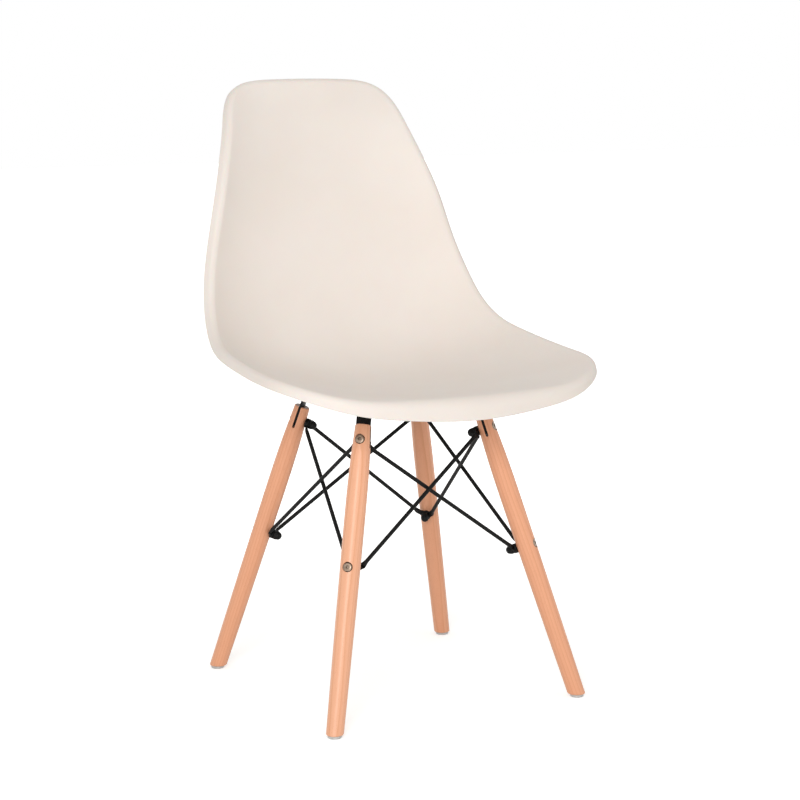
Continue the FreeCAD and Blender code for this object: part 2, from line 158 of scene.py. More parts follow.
# Finishes
shellFinish = {
    "pale": (0.905, 0.842, 0.795),
    "deep": (0.88, 0.812, 0.758),
    "mottle": 9.0,            # clouds per metre
    "speckSize": 2600.0,      # specks per metre
    "speckShare": 0.035,
    "speckColor": (0.62, 0.55, 0.47),
    "grainSize": 1400.0,      # texture grains per metre
    "grainDepth": 0.00004,
    "polish": 60.0,           # changes of roughness per metre
    "roughness": (0.44, 0.55),
}


def shellMaterial(f):
    material, tree, shader = newMaterial("mouldedShell", Subsurface_Weight=0.12, Subsurface_Scale=0.006,
                                         Specular_IOR_Level=0.22)
    point = objectPoint(tree)
    clouds = noise(tree, point, f["mottle"], 4.0)
    color = ramp(tree, clouds, [(0.3, f["deep"]), (0.7, f["pale"])])
    specks = noise(tree, point, f["speckSize"], 1.0)
    faint = spread(tree, specks, 0.0, f["speckShare"], 0.55, 0.8)
    color = mixColor(tree, faint, color, f["speckColor"])
    tree.links.new(color, shader.inputs["Base Color"])
    grain = noise(tree, point, f["grainSize"], 2.0, 0.6)
    wide = noise(tree, point, f["polish"], 2.0)
    tree.links.new(spread(tree, wide, *f["roughness"]), shader.inputs["Roughness"])
    bump(tree, shader, grain, f["grainDepth"], 0.35)
    return material


beechFinish = {
    "pale": (0.93, 0.49, 0.305),
    "mid": (0.90, 0.455, 0.275),
    "deep": (0.80, 0.375, 0.205),
    "fleck": (0.60, 0.265, 0.13),
    # painted shade on every leg but the front left
    "paintedLegShade": (0.95, 0.885, 0.84),
    # end faces: partly darker end grain, mostly painted shade under the seat
    "endGrainAndShade": (0.20, 0.085, 0.04),
    # painted shade inside the slot
    "paintedSlotShade": (0.035, 0.012, 0.006),
    "slot": (0.00175, 0.3637),   # half width and floor, in metres from the leg's middle and foot
    "legShift": (3.1, 5.3, 7.7),  # gives each leg its own grain
    "ringBend": (0.020, 0.009, 0.0),
    "ringScale": 0.31 / 0.0042,  # a growth ring about every 4.2 mm
    "roughness": (0.38, 0.52),
}


def endShare(tree):
    facing = addNode(tree, "ShaderNodeTexCoord").outputs["Normal"]
    upright = addNode(tree, "ShaderNodeSeparateXYZ", {0: facing}).outputs["Z"]
    return spread(tree, scalarMath(tree, "ABSOLUTE", upright), 0.0, 1.0, 0.86, 0.93)


# where the painted slot shade goes: inside the slot's width, above its floor
def slotShadeShare(tree, half, floor):
    place = addNode(tree, "ShaderNodeTexCoord").outputs["Object"]
    split = addNode(tree, "ShaderNodeSeparateXYZ", {0: place}).outputs
    near = scalarMath(tree, "LESS_THAN", scalarMath(tree, "ABSOLUTE", split["X"]), half)
    return scalarMath(tree, "MULTIPLY", near, scalarMath(tree, "GREATER_THAN", split["Z"], floor))


def beechMaterial(f):
    material, tree, shader = newMaterial("lacqueredBeech", Coat_Weight=0.22, Coat_Roughness=0.22,
                                         Specular_IOR_Level=0.4)
    place = addNode(tree, "ShaderNodeObjectInfo").outputs["Location"]
    offset = vectorMath(tree, "MULTIPLY", place, f["legShift"])[0]
    wavy = noise(tree, objectPoint(tree, (14, 14, 2.2), offset), 1.0, 2.0)
    along = objectPoint(tree, (1, 1, 0.045), offset)
    bend = vectorMath(tree, "MULTIPLY", wavy, f["ringBend"])[0]
    bent = vectorMath(tree, "ADD", along, bend)[0]
    wave = {"Vector": bent, "Scale": f["ringScale"], "Distortion": 1.2, "Detail": 2.0, "Detail Scale": 1.5}
    rings = addNode(tree, "ShaderNodeTexWave", wave, wave_type="BANDS", bands_direction="X",
                    wave_profile="SAW").outputs["Fac"]
    color = ramp(tree, rings, [(0.0, f["pale"]), (0.62, f["mid"]), (0.93, f["deep"]), (1.0, f["pale"])])
    tone = noise(tree, objectPoint(tree, (22, 22, 1.6), offset), 1.0, 3.0)
    color = mixColor(tree, spread(tree, tone, 0.0, 0.5, 0.3, 0.75), color, f["pale"])
    fibres = noise(tree, objectPoint(tree, (2600, 2600, 42), offset), 1.0, 3.0, 0.6)
    color = mixColor(tree, spread(tree, fibres, 0.0, 0.42, 0.45, 0.8), color, f["deep"])
    cells = {"Vector": objectPoint(tree, (900, 900, 210), offset), "Scale": 1.0, "Randomness": 1.0}
    rays = addNode(tree, "ShaderNodeTexVoronoi", cells)
    marks = spread(tree, rays.outputs["Distance"], 0.55, 0.0, 0.05, 0.22)
    color = mixColor(tree, marks, color, f["fleck"])
    # painted shade: every leg but the front left is darkened, so the front left leg is the palest
    diagonal = vectorMath(tree, "DOT_PRODUCT", place, (1.0, 1.0, 0.0))["Value"]
    legShade = spread(tree, diagonal, 0.0, 1.0, -0.35, -0.05)
    color = mixColor(tree, legShade, color, f["paintedLegShade"], "MULTIPLY")
    # faces along the leg's axis get darker end grain, deepened to near black-brown as painted shade
    color = mixColor(tree, endShare(tree), color, f["endGrainAndShade"])
    # painted shade: the slot walls are darkened nearly to black
    color = mixColor(tree, slotShadeShare(tree, *f["slot"]), color, f["paintedSlotShade"])
    tree.links.new(color, shader.inputs["Base Color"])
    tree.links.new(spread(tree, fibres, *f["roughness"]), shader.inputs["Roughness"])
    bump(tree, shader, fibres, 0.00005, 0.4)
    return material


def coatedMaterial(name, color, roughness, peel, depth, gloss=0.5):
    material, tree, shader = newMaterial(name, Specular_IOR_Level=gloss)
    point = objectPoint(tree)
    dust = noise(tree, point, 240.0, 3.0)
    lighter = tuple(c * 1.9 + 0.004 for c in color)
    tree.links.new(mixColor(tree, spread(tree, dust, 0.0, 0.5, 0.35, 0.8), color, lighter),
                   shader.inputs["Base Color"])
    tree.links.new(spread(tree, dust, roughness - 0.05, roughness + 0.08), shader.inputs["Roughness"])
    bump(tree, shader, noise(tree, point, peel, 2.0), depth, 0.5)
    return material


recessShade = {"color": (0.03, 0.022, 0.018), "reach": 0.003, "open": (0.25, 0.6)}   # painted shade in sockets and corners, darkest where the surface is enclosed


def metalMaterial(name, pale, deep, roughness):
    material, tree, shader = newMaterial(name, Metallic=1.0)
    point = objectPoint(tree)
    stains = noise(tree, point, 170.0, 4.0)
    color = ramp(tree, stains, [(0.3, deep), (0.65, pale)])
    # painted shade: where ambient occlusion finds the surface enclosed, the colour is darkened to the
    # recess shade colour
    exposed = addNode(tree, "ShaderNodeAmbientOcclusion", {"Distance": recessShade["reach"]}).outputs["AO"]
    color = mixColor(tree, spread(tree, exposed, 1.0, 0.0, *recessShade["open"]), color, recessShade["color"])
    tree.links.new(color, shader.inputs["Base Color"])
    fine = noise(tree, point, 3200.0, 2.0)
    tree.links.new(spread(tree, fine, roughness - 0.07, roughness + 0.12), shader.inputs["Roughness"])
    bump(tree, shader, fine, 0.00001, 0.4)
    return material


finishes = {
    "shell_plastic": shellMaterial(shellFinish),
    "beech_wood": beechMaterial(beechFinish),
    "black_steel": coatedMaterial("blackCoatedSteel", (0.006, 0.0065, 0.0065), 0.48, 1500.0, 0.00002, 0.12),
    "pad_rubber": coatedMaterial("blackRubber", (0.02, 0.02, 0.02), 0.7, 900.0, 0.00004),
    "glide_plastic": coatedMaterial("paleGlidePlastic", (0.50, 0.50, 0.49), 0.34, 700.0, 0.00002),
    # the leg bolts' brown tint is a painted reflection of the wood around their heads; the zinc plating
    # itself is grey
    "bolt_steel": metalMaterial("zincPlatedBolt", (0.34, 0.26, 0.20), (0.20, 0.145, 0.105), 0.3),
    "fixing_steel": metalMaterial("zincPlatedFixing", (0.7, 0.69, 0.66), (0.48, 0.46, 0.43), 0.34),
    "insert_brass": metalMaterial("knurledBrass", (0.79, 0.6, 0.28), (0.55, 0.38, 0.15), 0.33),
}
print("finishes made:", len(finishes))


# Mesh helpers
def cubicCurve(stations, values, flatEnds):
    x = np.array(stations, float)
    y = np.array(values, float)
    last = len(x) - 1
    h = np.diff(x)
    slope = np.diff(y) / h
    system = np.eye(last + 1)
    right = np.zeros(last + 1)
    for i in range(1, last):
        system[i, i - 1:i + 2] = h[i - 1], 2 * (h[i - 1] + h[i]), h[i]
        right[i] = 6 * (slope[i] - slope[i - 1])
    if flatEnds:
        system[0, :2] = 2 * h[0], h[0]
        system[last, last - 1:] = h[-1], 2 * h[-1]
        right[0] = 6 * slope[0]
        right[last] = -6 * slope[-1]
    bend = np.linalg.solve(system, right)

    def at(t):
        t = np.clip(t, x[0], x[last])
        i = np.clip(np.searchsorted(x, t) - 1, 0, last - 1)
        a = (x[i + 1] - t) / h[i]
        b = 1 - a
        curved = (a ** 3 - a) * bend[i] + (b ** 3 - b) * bend[i + 1]
        return a * y[i] + b * y[i + 1] + curved * h[i] ** 2 / 6
    return at


def meshObject(name, points, faces):
    mesh = bpy.data.meshes.new(name)
    mesh.from_pydata([tuple(p) for p in points], [], faces)
    outward = bmesh.new()
    outward.from_mesh(mesh)
    bmesh.ops.recalc_face_normals(outward, faces=outward.faces)
    outward.to_mesh(mesh)
    outward.free()
    piece = bpy.data.objects.new(name, mesh)
    scene.collection.objects.link(piece)
    return piece


def joinMeshes(name, parts):
    points, faces = [], []
    for somePoints, someFaces in parts:
        start = len(points)
        points += [tuple(p) for p in somePoints]
        faces += [[i + start for i in f] for f in someFaces]
    return meshObject(name, points, faces)


def loft(rings, closed=True):
    count = len(rings[0])
    points = [p for ring in rings for p in ring]
    faces = []
    for r in range(len(rings) - 1):
        for i in range(count):
            j = (i + 1) % count
            faces.append([r * count + i, r * count + j, (r + 1) * count + j, (r + 1) * count + i])
    if closed:
        faces.append(list(range(count))[::-1])
        faces.append([(len(rings) - 1) * count + i for i in range(count)])
    return points, faces


def ringTube(rings):
    points, faces = loft(rings, False)
    count = len(rings[0])
    start = (len(rings) - 1) * count
    for i in range(count):
        j = (i + 1) % count
        faces.append([start + i, start + j, j, i])
    return points, faces


def circle(radius, height, count=48):
    turns = [2 * math.pi * i / count for i in range(count)]
    return [Vector((radius * math.cos(t), radius * math.sin(t), height)) for t in turns]


def hexagonRing(width, height, count=48, limit=None):
    ring = []
    for i in range(count):
        turn = 2 * math.pi * i / count
        radius = width / 2 / math.cos((turn + math.pi / 6) % (math.pi / 3) - math.pi / 6)
        if limit is not None:
            radius = min(radius, limit)
        ring.append(Vector((radius * math.cos(turn), radius * math.sin(turn), height)))
    return ring


def placedMesh(part, matrix):
    points, faces = part
    return [matrix @ Vector(p) for p in points], faces


def finishPiece(piece, slotName, *nodes, sharp=32.0):
    mesh = bmesh.new()
    mesh.from_mesh(piece.data)
    for face in mesh.faces:
        face.smooth = True
    for edge in mesh.edges:
        edge.smooth = len(edge.link_faces) != 2 or edge.calc_face_angle() < math.radians(sharp)
    mesh.to_mesh(piece.data)
    mesh.free()
    piece.data.materials.clear()
    piece.data.materials.append(finishes[slotName])
    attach(piece, "root")
    if nodes:
        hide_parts(*nodes)
    return piece


def appliedCuts(piece, cutters):
    for cutter in cutters:
        cut = piece.modifiers.new("cut", "BOOLEAN")
        cut.operation = "DIFFERENCE"
        cut.solver = "EXACT"
        cut.object = cutter
    bpy.context.view_layer.update()
    result = bpy.data.meshes.new_from_object(piece.evaluated_get(bpy.context.evaluated_depsgraph_get()))
    piece.modifiers.clear()
    old = piece.data
    piece.data = result
    bpy.data.meshes.remove(old)
    for cutter in cutters:
        bpy.data.objects.remove(cutter)


# Seat shell: a bowl over the unit disc, with a rolled edge all round
shell = {
    "crestWidth": 0.447,
    "crestDepth": 0.455,
    "crestFront": -0.225,
    "backRise": 0.378,
    "frontHeight": 0.4185,
    "wall": 0.004,
    "fullness": 0.35,
    "sideLip": (0.008, 90.0, 0.0069),      # roll radius, roll turn in degrees, straight flange
    "frontLip": (0.0167, 75.0, 0.0165),
    "frontLipStart": 0.765,                # share of the way round from top centre to front centre
    "edgeRadius": 0.0012,
    "coreShare": 0.5,
    "coreSteps": 48,
    "ringSteps": 26,
    "rollSteps": 9,
    "flangeSteps": 3,
    # rim from the top centre round one side to the front centre, as shares of width, depth and rise
    "rim": [(0.0, 1.0, 1.0), (0.295, 0.996, 0.997), (0.47, 0.979, 0.976), (0.536, 0.946, 0.923),
            (0.575, 0.912, 0.85), (0.641, 0.866, 0.724), (0.709, 0.831, 0.591), (0.776, 0.807, 0.446),
            (0.835, 0.772, 0.324), (0.888, 0.712, 0.209), (0.933, 0.635, 0.142), (0.974, 0.546, 0.111),
            (0.993, 0.42, 0.089), (1.0, 0.282, 0.073), (0.975, 0.164, 0.06), (0.861, 0.079, 0.036),
            (0.706, 0.032, 0.015), (0.379, 0.008, 0.002), (0.0, 0.0, 0.0)],
    # middle line from the top to the front
    "middle": [(1.0, 1.0), (0.974, 0.854), (0.949, 0.723), (0.926, 0.587), (0.906, 0.446),
               (0.886, 0.326), (0.856, 0.211), (0.815, 0.119), (0.757, 0.051), (0.677, 0.005),
               (0.576, -0.02), (0.462, -0.028), (0.327, -0.028), (0.191, -0.017), (0.078, -0.004),
               (0.0, 0.0)],
}


def chordStations(points, total):
    steps = np.linalg.norm(np.diff(points, axis=0), axis=1)
    run = np.concatenate([[0.0], np.cumsum(steps)])
    return run / run[-1] * total


rimPoints = np.array(shell["rim"]) * [shell["crestWidth"] / 2, shell["crestDepth"], shell["backRise"]]
rimPoints += [0, shell["crestFront"], shell["frontHeight"]]
middlePoints = np.array(shell["middle"]) * [shell["crestDepth"], shell["backRise"]]
middlePoints += [shell["crestFront"], shell["frontHeight"]]
rimStations = chordStations(rimPoints, math.pi)
middleStations = chordStations(middlePoints, 2.0)
rimX = cubicCurve(rimStations, rimPoints[:, 0], False)
rimY = cubicCurve(rimStations, rimPoints[:, 1], True)
rimZ = cubicCurve(rimStations, rimPoints[:, 2], True)
middleY = cubicCurve(middleStations, middlePoints[:, 0], False)
middleZ = cubicCurve(middleStations, middlePoints[:, 1], False)


def normalized(v):
    return v / np.linalg.norm(v, axis=-1, keepdims=True)


def rimPoint(turn):
    turn = (np.asarray(turn, float) + math.pi) % (2 * math.pi) - math.pi
    side = np.where(turn >= 0, 1.0, -1.0)
    turn = np.abs(turn)
    return np.stack([side * rimX(turn), rimY(turn), rimZ(turn)], axis=-1)


def bowlPoint(across, along):
    along = np.clip(along, -1.0, 1.0)
    chord = np.maximum(1 - along ** 2, 1e-12)
    turn = np.arccos(along)
    share = np.clip(across / np.sqrt(chord), -1.0, 1.0)
    quartic = shell["fullness"] * chord
    rise = (1 - quartic) * share ** 2 + quartic * share ** 4
    y = middleY(1 - along)
    z = middleZ(1 - along)
    return np.stack([rimX(turn) * share, y + (rimY(turn) - y) * rise, z + (rimZ(turn) - z) * rise], axis=-1)


def skinPoint(across, along, depth):
    point = bowlPoint(across, along)
    if depth == 0:
        return point
    step = 1e-3
    byAcross = bowlPoint(across + step, along) - bowlPoint(across - step, along)
    byAlong = bowlPoint(across, along + step) - bowlPoint(across, along - step)
    return point - normalized(np.cross(byAcross, byAlong)) * depth


def lipSizes(turn):
    around = np.abs((turn + math.pi) % (2 * math.pi) - math.pi) / math.pi
    blend = np.clip((around - shell["frontLipStart"]) / (1 - shell["frontLipStart"]), 0, 1)
    blend = blend * blend * (3 - 2 * blend)
    radius, rolled, flange = (a + (b - a) * blend for a, b in zip(shell["sideLip"], shell["frontLip"]))
    return radius, np.radians(rolled), flange


def lipPoint(turn, run, depth):
    crest = rimPoint(turn)
    tangent = normalized(rimPoint(turn + 1e-3) - rimPoint(turn - 1e-3))
    near = bowlPoint(0.985 * np.sin(turn), 0.985 * np.cos(turn))
    far = bowlPoint(0.97 * np.sin(turn), 0.97 * np.cos(turn))
    off = crest * 3 - near * 4 + far
    off = normalized(off - tangent * np.sum(off * tangent, axis=-1, keepdims=True))
    under = normalized(np.cross(off, tangent))
    radius, rolled, _ = lipSizes(turn)
    angle = np.minimum(run / radius, rolled)
    straight = np.maximum(run - radius * rolled, 0)
    ahead = (radius - depth) * np.sin(angle) + straight * np.cos(rolled)
    down = radius - (radius - depth) * np.cos(angle) + straight * np.sin(rolled)
    return crest + off * ahead[:, None] + under * down[:, None]


def skinRows(depth, turn):
    core = shell["coreShare"]
    steps = shell["coreSteps"]
    quarter = np.repeat(np.arange(4), steps)
    slide = np.tile(np.arange(steps) / steps, 4) * 2 - 1
    middle = np.radians(90.0 * quarter)
    square = np.stack([np.sin(middle) + np.cos(middle) * slide,
                       np.cos(middle) - np.sin(middle) * slide], axis=-1) * core
    disc = np.stack([np.sin(turn), np.cos(turn)], axis=-1)
    rows = []
    for m in range(1, shell["ringSteps"]):
        at = square + (disc - square) * m / shell["ringSteps"]
        rows.append(skinPoint(at[:, 0], at[:, 1], depth))
    radius, rolled, flange = lipSizes(turn)
    for k in range(shell["rollSteps"] + 1):
        rows.append(lipPoint(turn, radius * rolled * k / shell["rollSteps"], depth))
    for k in range(1, shell["flangeSteps"]):
        run = radius * rolled + (flange - shell["edgeRadius"]) * k / shell["flangeSteps"]
        rows.append(lipPoint(turn, run, depth))
    return rows


def edgeRows(turn):
    radius, rolled, flange = lipSizes(turn)
    total = radius * rolled + flange
    edge = shell["edgeRadius"]
    rows = []
    for k in range(9):
        corner = math.radians(90 * k / 4 if k < 5 else 90 * (k - 4) / 4)
        if k < 5:
            depth = edge * (1 - math.cos(corner))
            run = total - edge * (1 - math.sin(corner))
        else:
            depth = shell["wall"] - edge * (1 - math.sin(corner))
            run = total - edge * (1 - math.cos(corner))
        rows.append(lipPoint(turn, run, depth))
    return rows


def coreGrid(depth):
    line = np.linspace(-shell["coreShare"], shell["coreShare"], shell["coreSteps"] + 1)
    across, along = np.meshgrid(line, line, indexing="ij")
    return skinPoint(across, along, depth)


def shellMesh():
    steps = shell["coreSteps"]
    count = 4 * steps
    turn = np.radians(-45 + 90 * np.arange(count) / steps)
    top = skinRows(0.0, turn)
    rows = top + edgeRows(turn) + skinRows(shell["wall"], turn)[::-1]
    grids = [coreGrid(0.0), coreGrid(shell["wall"])]
    points = [p for grid in grids for p in grid.reshape(-1, 3)]
    size = (steps + 1) ** 2
    start = 2 * size
    for row in rows:
        points += list(row)
    faces = []
    for g in range(2):
        for i in range(steps):
            for j in range(steps):
                a = g * size + i * (steps + 1) + j
                faces.append([a, a + steps + 1, a + steps + 2, a + 1])
    border = []
    for k in range(count):
        quarter, u = divmod(k, steps)
        i, j = ((u, steps), (steps, steps - u), (steps - u, 0), (0, u))[quarter]
        border.append(i * (steps + 1) + j)
    for k in range(count):
        n = (k + 1) % count
        faces.append([border[k], border[n], start + n, start + k])
        low = start + (len(rows) - 1) * count
        faces.append([size + border[k], size + border[n], low + n, low + k])
        for r in range(len(rows) - 1):
            a = start + r * count
            faces.append([a + k, a + n, a + count + n, a + count + k])
    return points, faces


seatShell = meshObject("seatShell", *shellMesh())
finishPiece(seatShell, "shell_plastic", "seat_shell", sharp=70.0)
smoother = seatShell.modifiers.new("smoother", "SUBSURF")
smoother.levels = smoother.render_levels = 1
print("seat shell made")


# Legs
legs = {
    "centreY": -0.0147,
    "footSpread": 0.358,
    "topSpread": 0.1754,
    "topHeight": 0.371,
    "stations": (0.0, 0.05, 0.14),           # metres down from the top
    "diameters": (0.0206, 0.025, 0.0264, 0.0222),
    "topChamfer": 0.001,
    "footChamfer": 0.0018,
    "footHeight": 0.004,
    "slotWidth": 0.0034,
    "slotDepth": 0.030,
    "boltDrops": (0.0195, 0.182),
    "boltHole": 0.0032,
    "holeReach": 0.03,                       # past both sides of the leg
    "counterbore": (0.0066, 0.0038),         # radius and depth
    "around": 72,
    "rows": 64,
}
footRadius = legs["footSpread"] / math.sqrt(2)
topRadius = legs["topSpread"] / math.sqrt(2)
legLength = math.hypot(footRadius - topRadius, legs["topHeight"])
splay = math.atan2(footRadius - topRadius, legs["topHeight"])
corners = {"back_right": 45.0, "back_left": 135.0, "front_left": 225.0, "front_right": 315.0}
legRadius = cubicCurve([*legs["stations"], legLength], [d / 2 for d in legs["diameters"]], False)


def legMatrix(angle):
    turn = Matrix.Rotation(math.radians(angle), 4, "Z")
    foot = turn @ Vector((footRadius, 0, 0)) + Vector((0, legs["centreY"], 0))
    return Matrix.Translation(foot) @ turn @ Matrix.Rotation(-splay, 4, "Y")


def legDowel():
    low = -legs["diameters"][-1]
    rings = []
    for k in range(legs["rows"] + 1):
        z = low + (legLength - legs["topChamfer"] - low) * k / legs["rows"]
        rings.append(circle(float(legRadius(legLength - max(z, 0))), z, legs["around"]))
    rings.append(circle(float(legRadius(0)) - legs["topChamfer"], legLength, legs["around"]))
    return loft(rings)


def slotCutter(name):
    half = legs["slotWidth"] / 2
    reach = legs["diameters"][2]
    floor = legLength - legs["slotDepth"] + half
    outline = [(half, legLength + reach), (-half, legLength + reach)]
    for k in range(13):
        turn = math.pi + math.pi * k / 12
        outline.append((half * math.cos(turn), floor + half * math.sin(turn)))
    rings = [[Vector((x, side * reach, z)) for x, z in outline] for side in (-1, 1)]
    return meshObject(name, *loft(rings))


def sideCutter(name, radius, start, drop):
    turn = Matrix.Translation((start, 0, legLength - drop)) @ Matrix.Rotation(math.pi / 2, 4, "Y")
    rings = [circle(radius, z, 40) for z in (0.0, 2 * legs["holeReach"])]
    return meshObject(name, *placedMesh(loft(rings), turn))


def levelFoot(piece, matrix):
    mesh = bmesh.new()
    mesh.from_mesh(piece.data)
    inverse = matrix.inverted()
    centre = inverse @ Vector((matrix.translation.x, matrix.translation.y, legs["footHeight"]))
    normal = inverse.to_3x3() @ Vector((0, 0, 1))
    everything = mesh.verts[:] + mesh.edges[:] + mesh.faces[:]
    bmesh.ops.bisect_plane(mesh, geom=everything, plane_co=centre, plane_no=normal, clear_inner=True)
    border = [e for e in mesh.edges if e.is_boundary]
    bmesh.ops.contextual_create(mesh, geom=border)
    rim = [e for e in border if e.is_valid]
    bmesh.ops.bevel(mesh, geom=rim, offset=legs["footChamfer"], segments=3, profile=0.6, affect="EDGES")
    mesh.to_mesh(piece.data)
    mesh.free()


def addLeg(corner, angle):
    matrix = legMatrix(angle)
    dowel = meshObject("leg_" + corner + "_turned", *legDowel())
    levelFoot(dowel, matrix)
    cutters = [slotCutter("slot")]
    for drop in legs["boltDrops"]:
        radius, depth = legs["counterbore"]
        cutters.append(sideCutter("hole", legs["boltHole"], -legs["holeReach"], drop))
        cutters.append(sideCutter("counterbore", radius, float(legRadius(drop)) - depth, drop))
    appliedCuts(dowel, cutters)
    dowel.matrix_world = matrix
    finishPiece(dowel, "beech_wood", "leg_" + corner)


for corner, angle in corners.items():
    addLeg(corner, angle)
print("legs made")


# Foot glides
glide = {"radius": 0.009, "height": 0.004, "round": 0.0014, "topRound": 0.0003}


def addGlide(corner, angle):
    matrix = legMatrix(angle)
    centre = matrix @ Vector((0, 0, glide["height"] / 2 / math.cos(splay)))
    rings = []
    for k in range(5):
        turn = math.radians(90 * k / 4)
        rings.append(circle(glide["radius"] - glide["round"] * (1 - math.sin(turn)),
                            glide["round"] * (1 - math.cos(turn))))
    rings.append(circle(glide["radius"], glide["height"] - glide["topRound"]))
    rings.append(circle(glide["radius"] - glide["topRound"], glide["height"]))
    disc = placedMesh(loft(rings), Matrix.Translation((centre.x, centre.y, 0)))
    finishPiece(joinMeshes("glide_" + corner, [disc]), "glide_plastic", "foot_glide_" + corner)


for corner, angle in corners.items():
    addGlide(corner, angle)
print("foot glides made")


# Leg bolts and cap nuts
bolt = {
    "shank": 0.003,
    "headRadius": 0.006,
    "headHeight": 0.0032,
    "socket": 0.004,
    "socketDepth": 0.0022,
    "threadReach": 0.007,
}
screwForm = {
    "mouth": (1.04, 0.0001),                 # widening of the socket and its height
    "crown": ((0.62, 0.0), (0.80, 0.05), (0.93, 0.20), (1.0, 0.48)),   # shares of radius and height
    "headEdge": 0.0002,
    "tipEdge": 0.0006,
}
nut = {
    "width": 0.0112,
    "height": 0.005,
    "dome": 0.0056,
    "domeLift": 0.0001,
    "bevel": ((0.0, 0.985), (0.0003, 1.03), (0.0008, 1.1)),   # height and share of the half width
    "bevelHeight": 0.0013,
}
eye = {"diameter": 0.013, "thickness": 0.0025, "fit": 0.0001}


def eyeSeat(drop):
    reach = eye["diameter"] / 2
    return float(max(legRadius(drop - reach), legRadius(drop + reach))) + eye["fit"]


def socketScrew(headRadius, headHeight, socket, socketDepth, shank, length):
    top = -headHeight
    wider, mouth = screwForm["mouth"]
    rings = [hexagonRing(socket, top + socketDepth), hexagonRing(socket, top + mouth),
             hexagonRing(socket * wider, top)]
    for radiusShare, heightShare in screwForm["crown"]:
        rings.append(circle(headRadius * radiusShare, top + headHeight * heightShare))
    head, tip = screwForm["headEdge"], screwForm["tipEdge"]
    for radius, z in ((headRadius, -head), (headRadius - head, 0.0), (shank, 0.0), (shank, length - tip),
                      (shank - tip, length)):
        rings.append(circle(radius, z))
    return loft(rings)


def capNut():
    corner = nut["width"] / math.sqrt(3)
    flat = nut["width"] / 2
    bevel = [(z, flat * share) for z, share in nut["bevel"]] + [(nut["bevelHeight"], corner)]
    rings = [hexagonRing(nut["width"], z, limit=limit) for z, limit in bevel]
    rings += [hexagonRing(nut["width"], nut["height"] - z, limit=limit) for z, limit in reversed(bevel)]
    rings.append(circle(nut["dome"], nut["height"] + nut["domeLift"]))
    for k in range(1, 12):
        turn = math.radians(90 * k / 12)
        rings.append(circle(nut["dome"] * math.cos(turn), nut["height"] + nut["dome"] * math.sin(turn)))
    return loft(rings)


def inwards(angle, drop, distance):
    aim = Matrix.Rotation(-math.pi / 2, 4, "Y")
    return legMatrix(angle) @ Matrix.Translation((distance, 0, legLength - drop)) @ aim


for name, drop in zip(("upper", "lower"), legs["boltDrops"]):
    floor = float(legRadius(drop)) - legs["counterbore"][1]
    stack = 2 * (eye["thickness"] + eye["fit"])
    length = floor + eyeSeat(drop) + stack + bolt["threadReach"]
    screwMesh = socketScrew(bolt["headRadius"], bolt["headHeight"], bolt["socket"], bolt["socketDepth"],
                            bolt["shank"], length)
    screws = [placedMesh(screwMesh, inwards(a, drop, floor)) for a in corners.values()]
    finishPiece(joinMeshes("bolts_" + name, screws), "bolt_steel", "leg_bolts_" + name)
    nutPlace = -eyeSeat(drop) - stack
    nuts = [placedMesh(capNut(), inwards(a, drop, nutPlace)) for a in corners.values()]
    finishPiece(joinMeshes("acorn_nuts_" + name, nuts), "black_steel", "cap_nuts_" + name)
print("bolts and nuts made")


# Braces: rods with flattened, rounded ends
brace = {
    "radius": 0.0026,
    "tangWidth": 0.008,
    "innerTang": 0.0079,
    "outerTang": 0.012,
    "innerUpperSlope": -49.0,     # degrees from square across the leg, positive towards its top
    "outerUpperSlope": -15.0,
    "lowerSlope": 22.5,
    "flare": 0.010,
    "eyeTip": 0.0012,             # half width at the far end of the eye
    "eyeEdge": 0.0006,
    "tangEdge": 0.0007,
    "rodStart": 0.98,             # share of the flare where the rod begins
}


def roundedRing(centre, side, up, halfWidth, halfHeight, corner, steps=6):
    ring = []
    corner = min(corner, halfWidth, halfHeight)
    for quadrant, (a, b) in enumerate(((1, 1), (-1, 1), (-1, -1), (1, -1))):
        for k in range(steps):
            turn = math.radians(90 * quadrant + 90 * k / (steps - 1))
            x = a * (halfWidth - corner) + corner * math.cos(turn)
            y = b * (halfHeight - corner) + corner * math.sin(turn)
            ring.append(centre + side * x + up * y)
    return ring


def braceEnd(centre, boltAxis, bend, along):
    reach = (bend - centre).normalized()
    eyeSide = boltAxis.cross(reach).normalized()
    bendLine = boltAxis.cross(along).normalized()
    rodUp = along.cross(bendLine).normalized()
    eyeRadius = eye["diameter"] / 2
    half = eye["thickness"] / 2
    tang = brace["tangWidth"] / 2
    edge = brace["tangEdge"]
    rings = []
    for k in range(13):
        turn = math.radians(180 - 150 * k / 12)
        station = eyeRadius * math.cos(turn)
        width = eyeRadius * math.sin(turn) if k else brace["eyeTip"]
        if station > 0:
            width = max(width, tang)
        place = centre + reach * station
        rings.append(roundedRing(place, eyeSide, -boltAxis, width, half, brace["eyeEdge"]))
    for share in (0.8, 0.92, 1.0):
        side = (eyeSide * (1 - share) + bendLine * share).normalized()
        mixed = (rodUp - boltAxis).normalized() if share == 1 else -boltAxis
        rings.append(roundedRing(centre.lerp(bend, share), side, mixed, tang, half, edge))
    for k in range(1, 9):
        share = k / 8
        ease = share * share * (3 - 2 * share)
        width, height, corner = (a + (brace["radius"] - a) * ease for a in (tang, half, edge))
        place = bend + along * brace["flare"] * share
        rings.append(roundedRing(place, bendLine, rodUp, width, height, corner))
    return rings


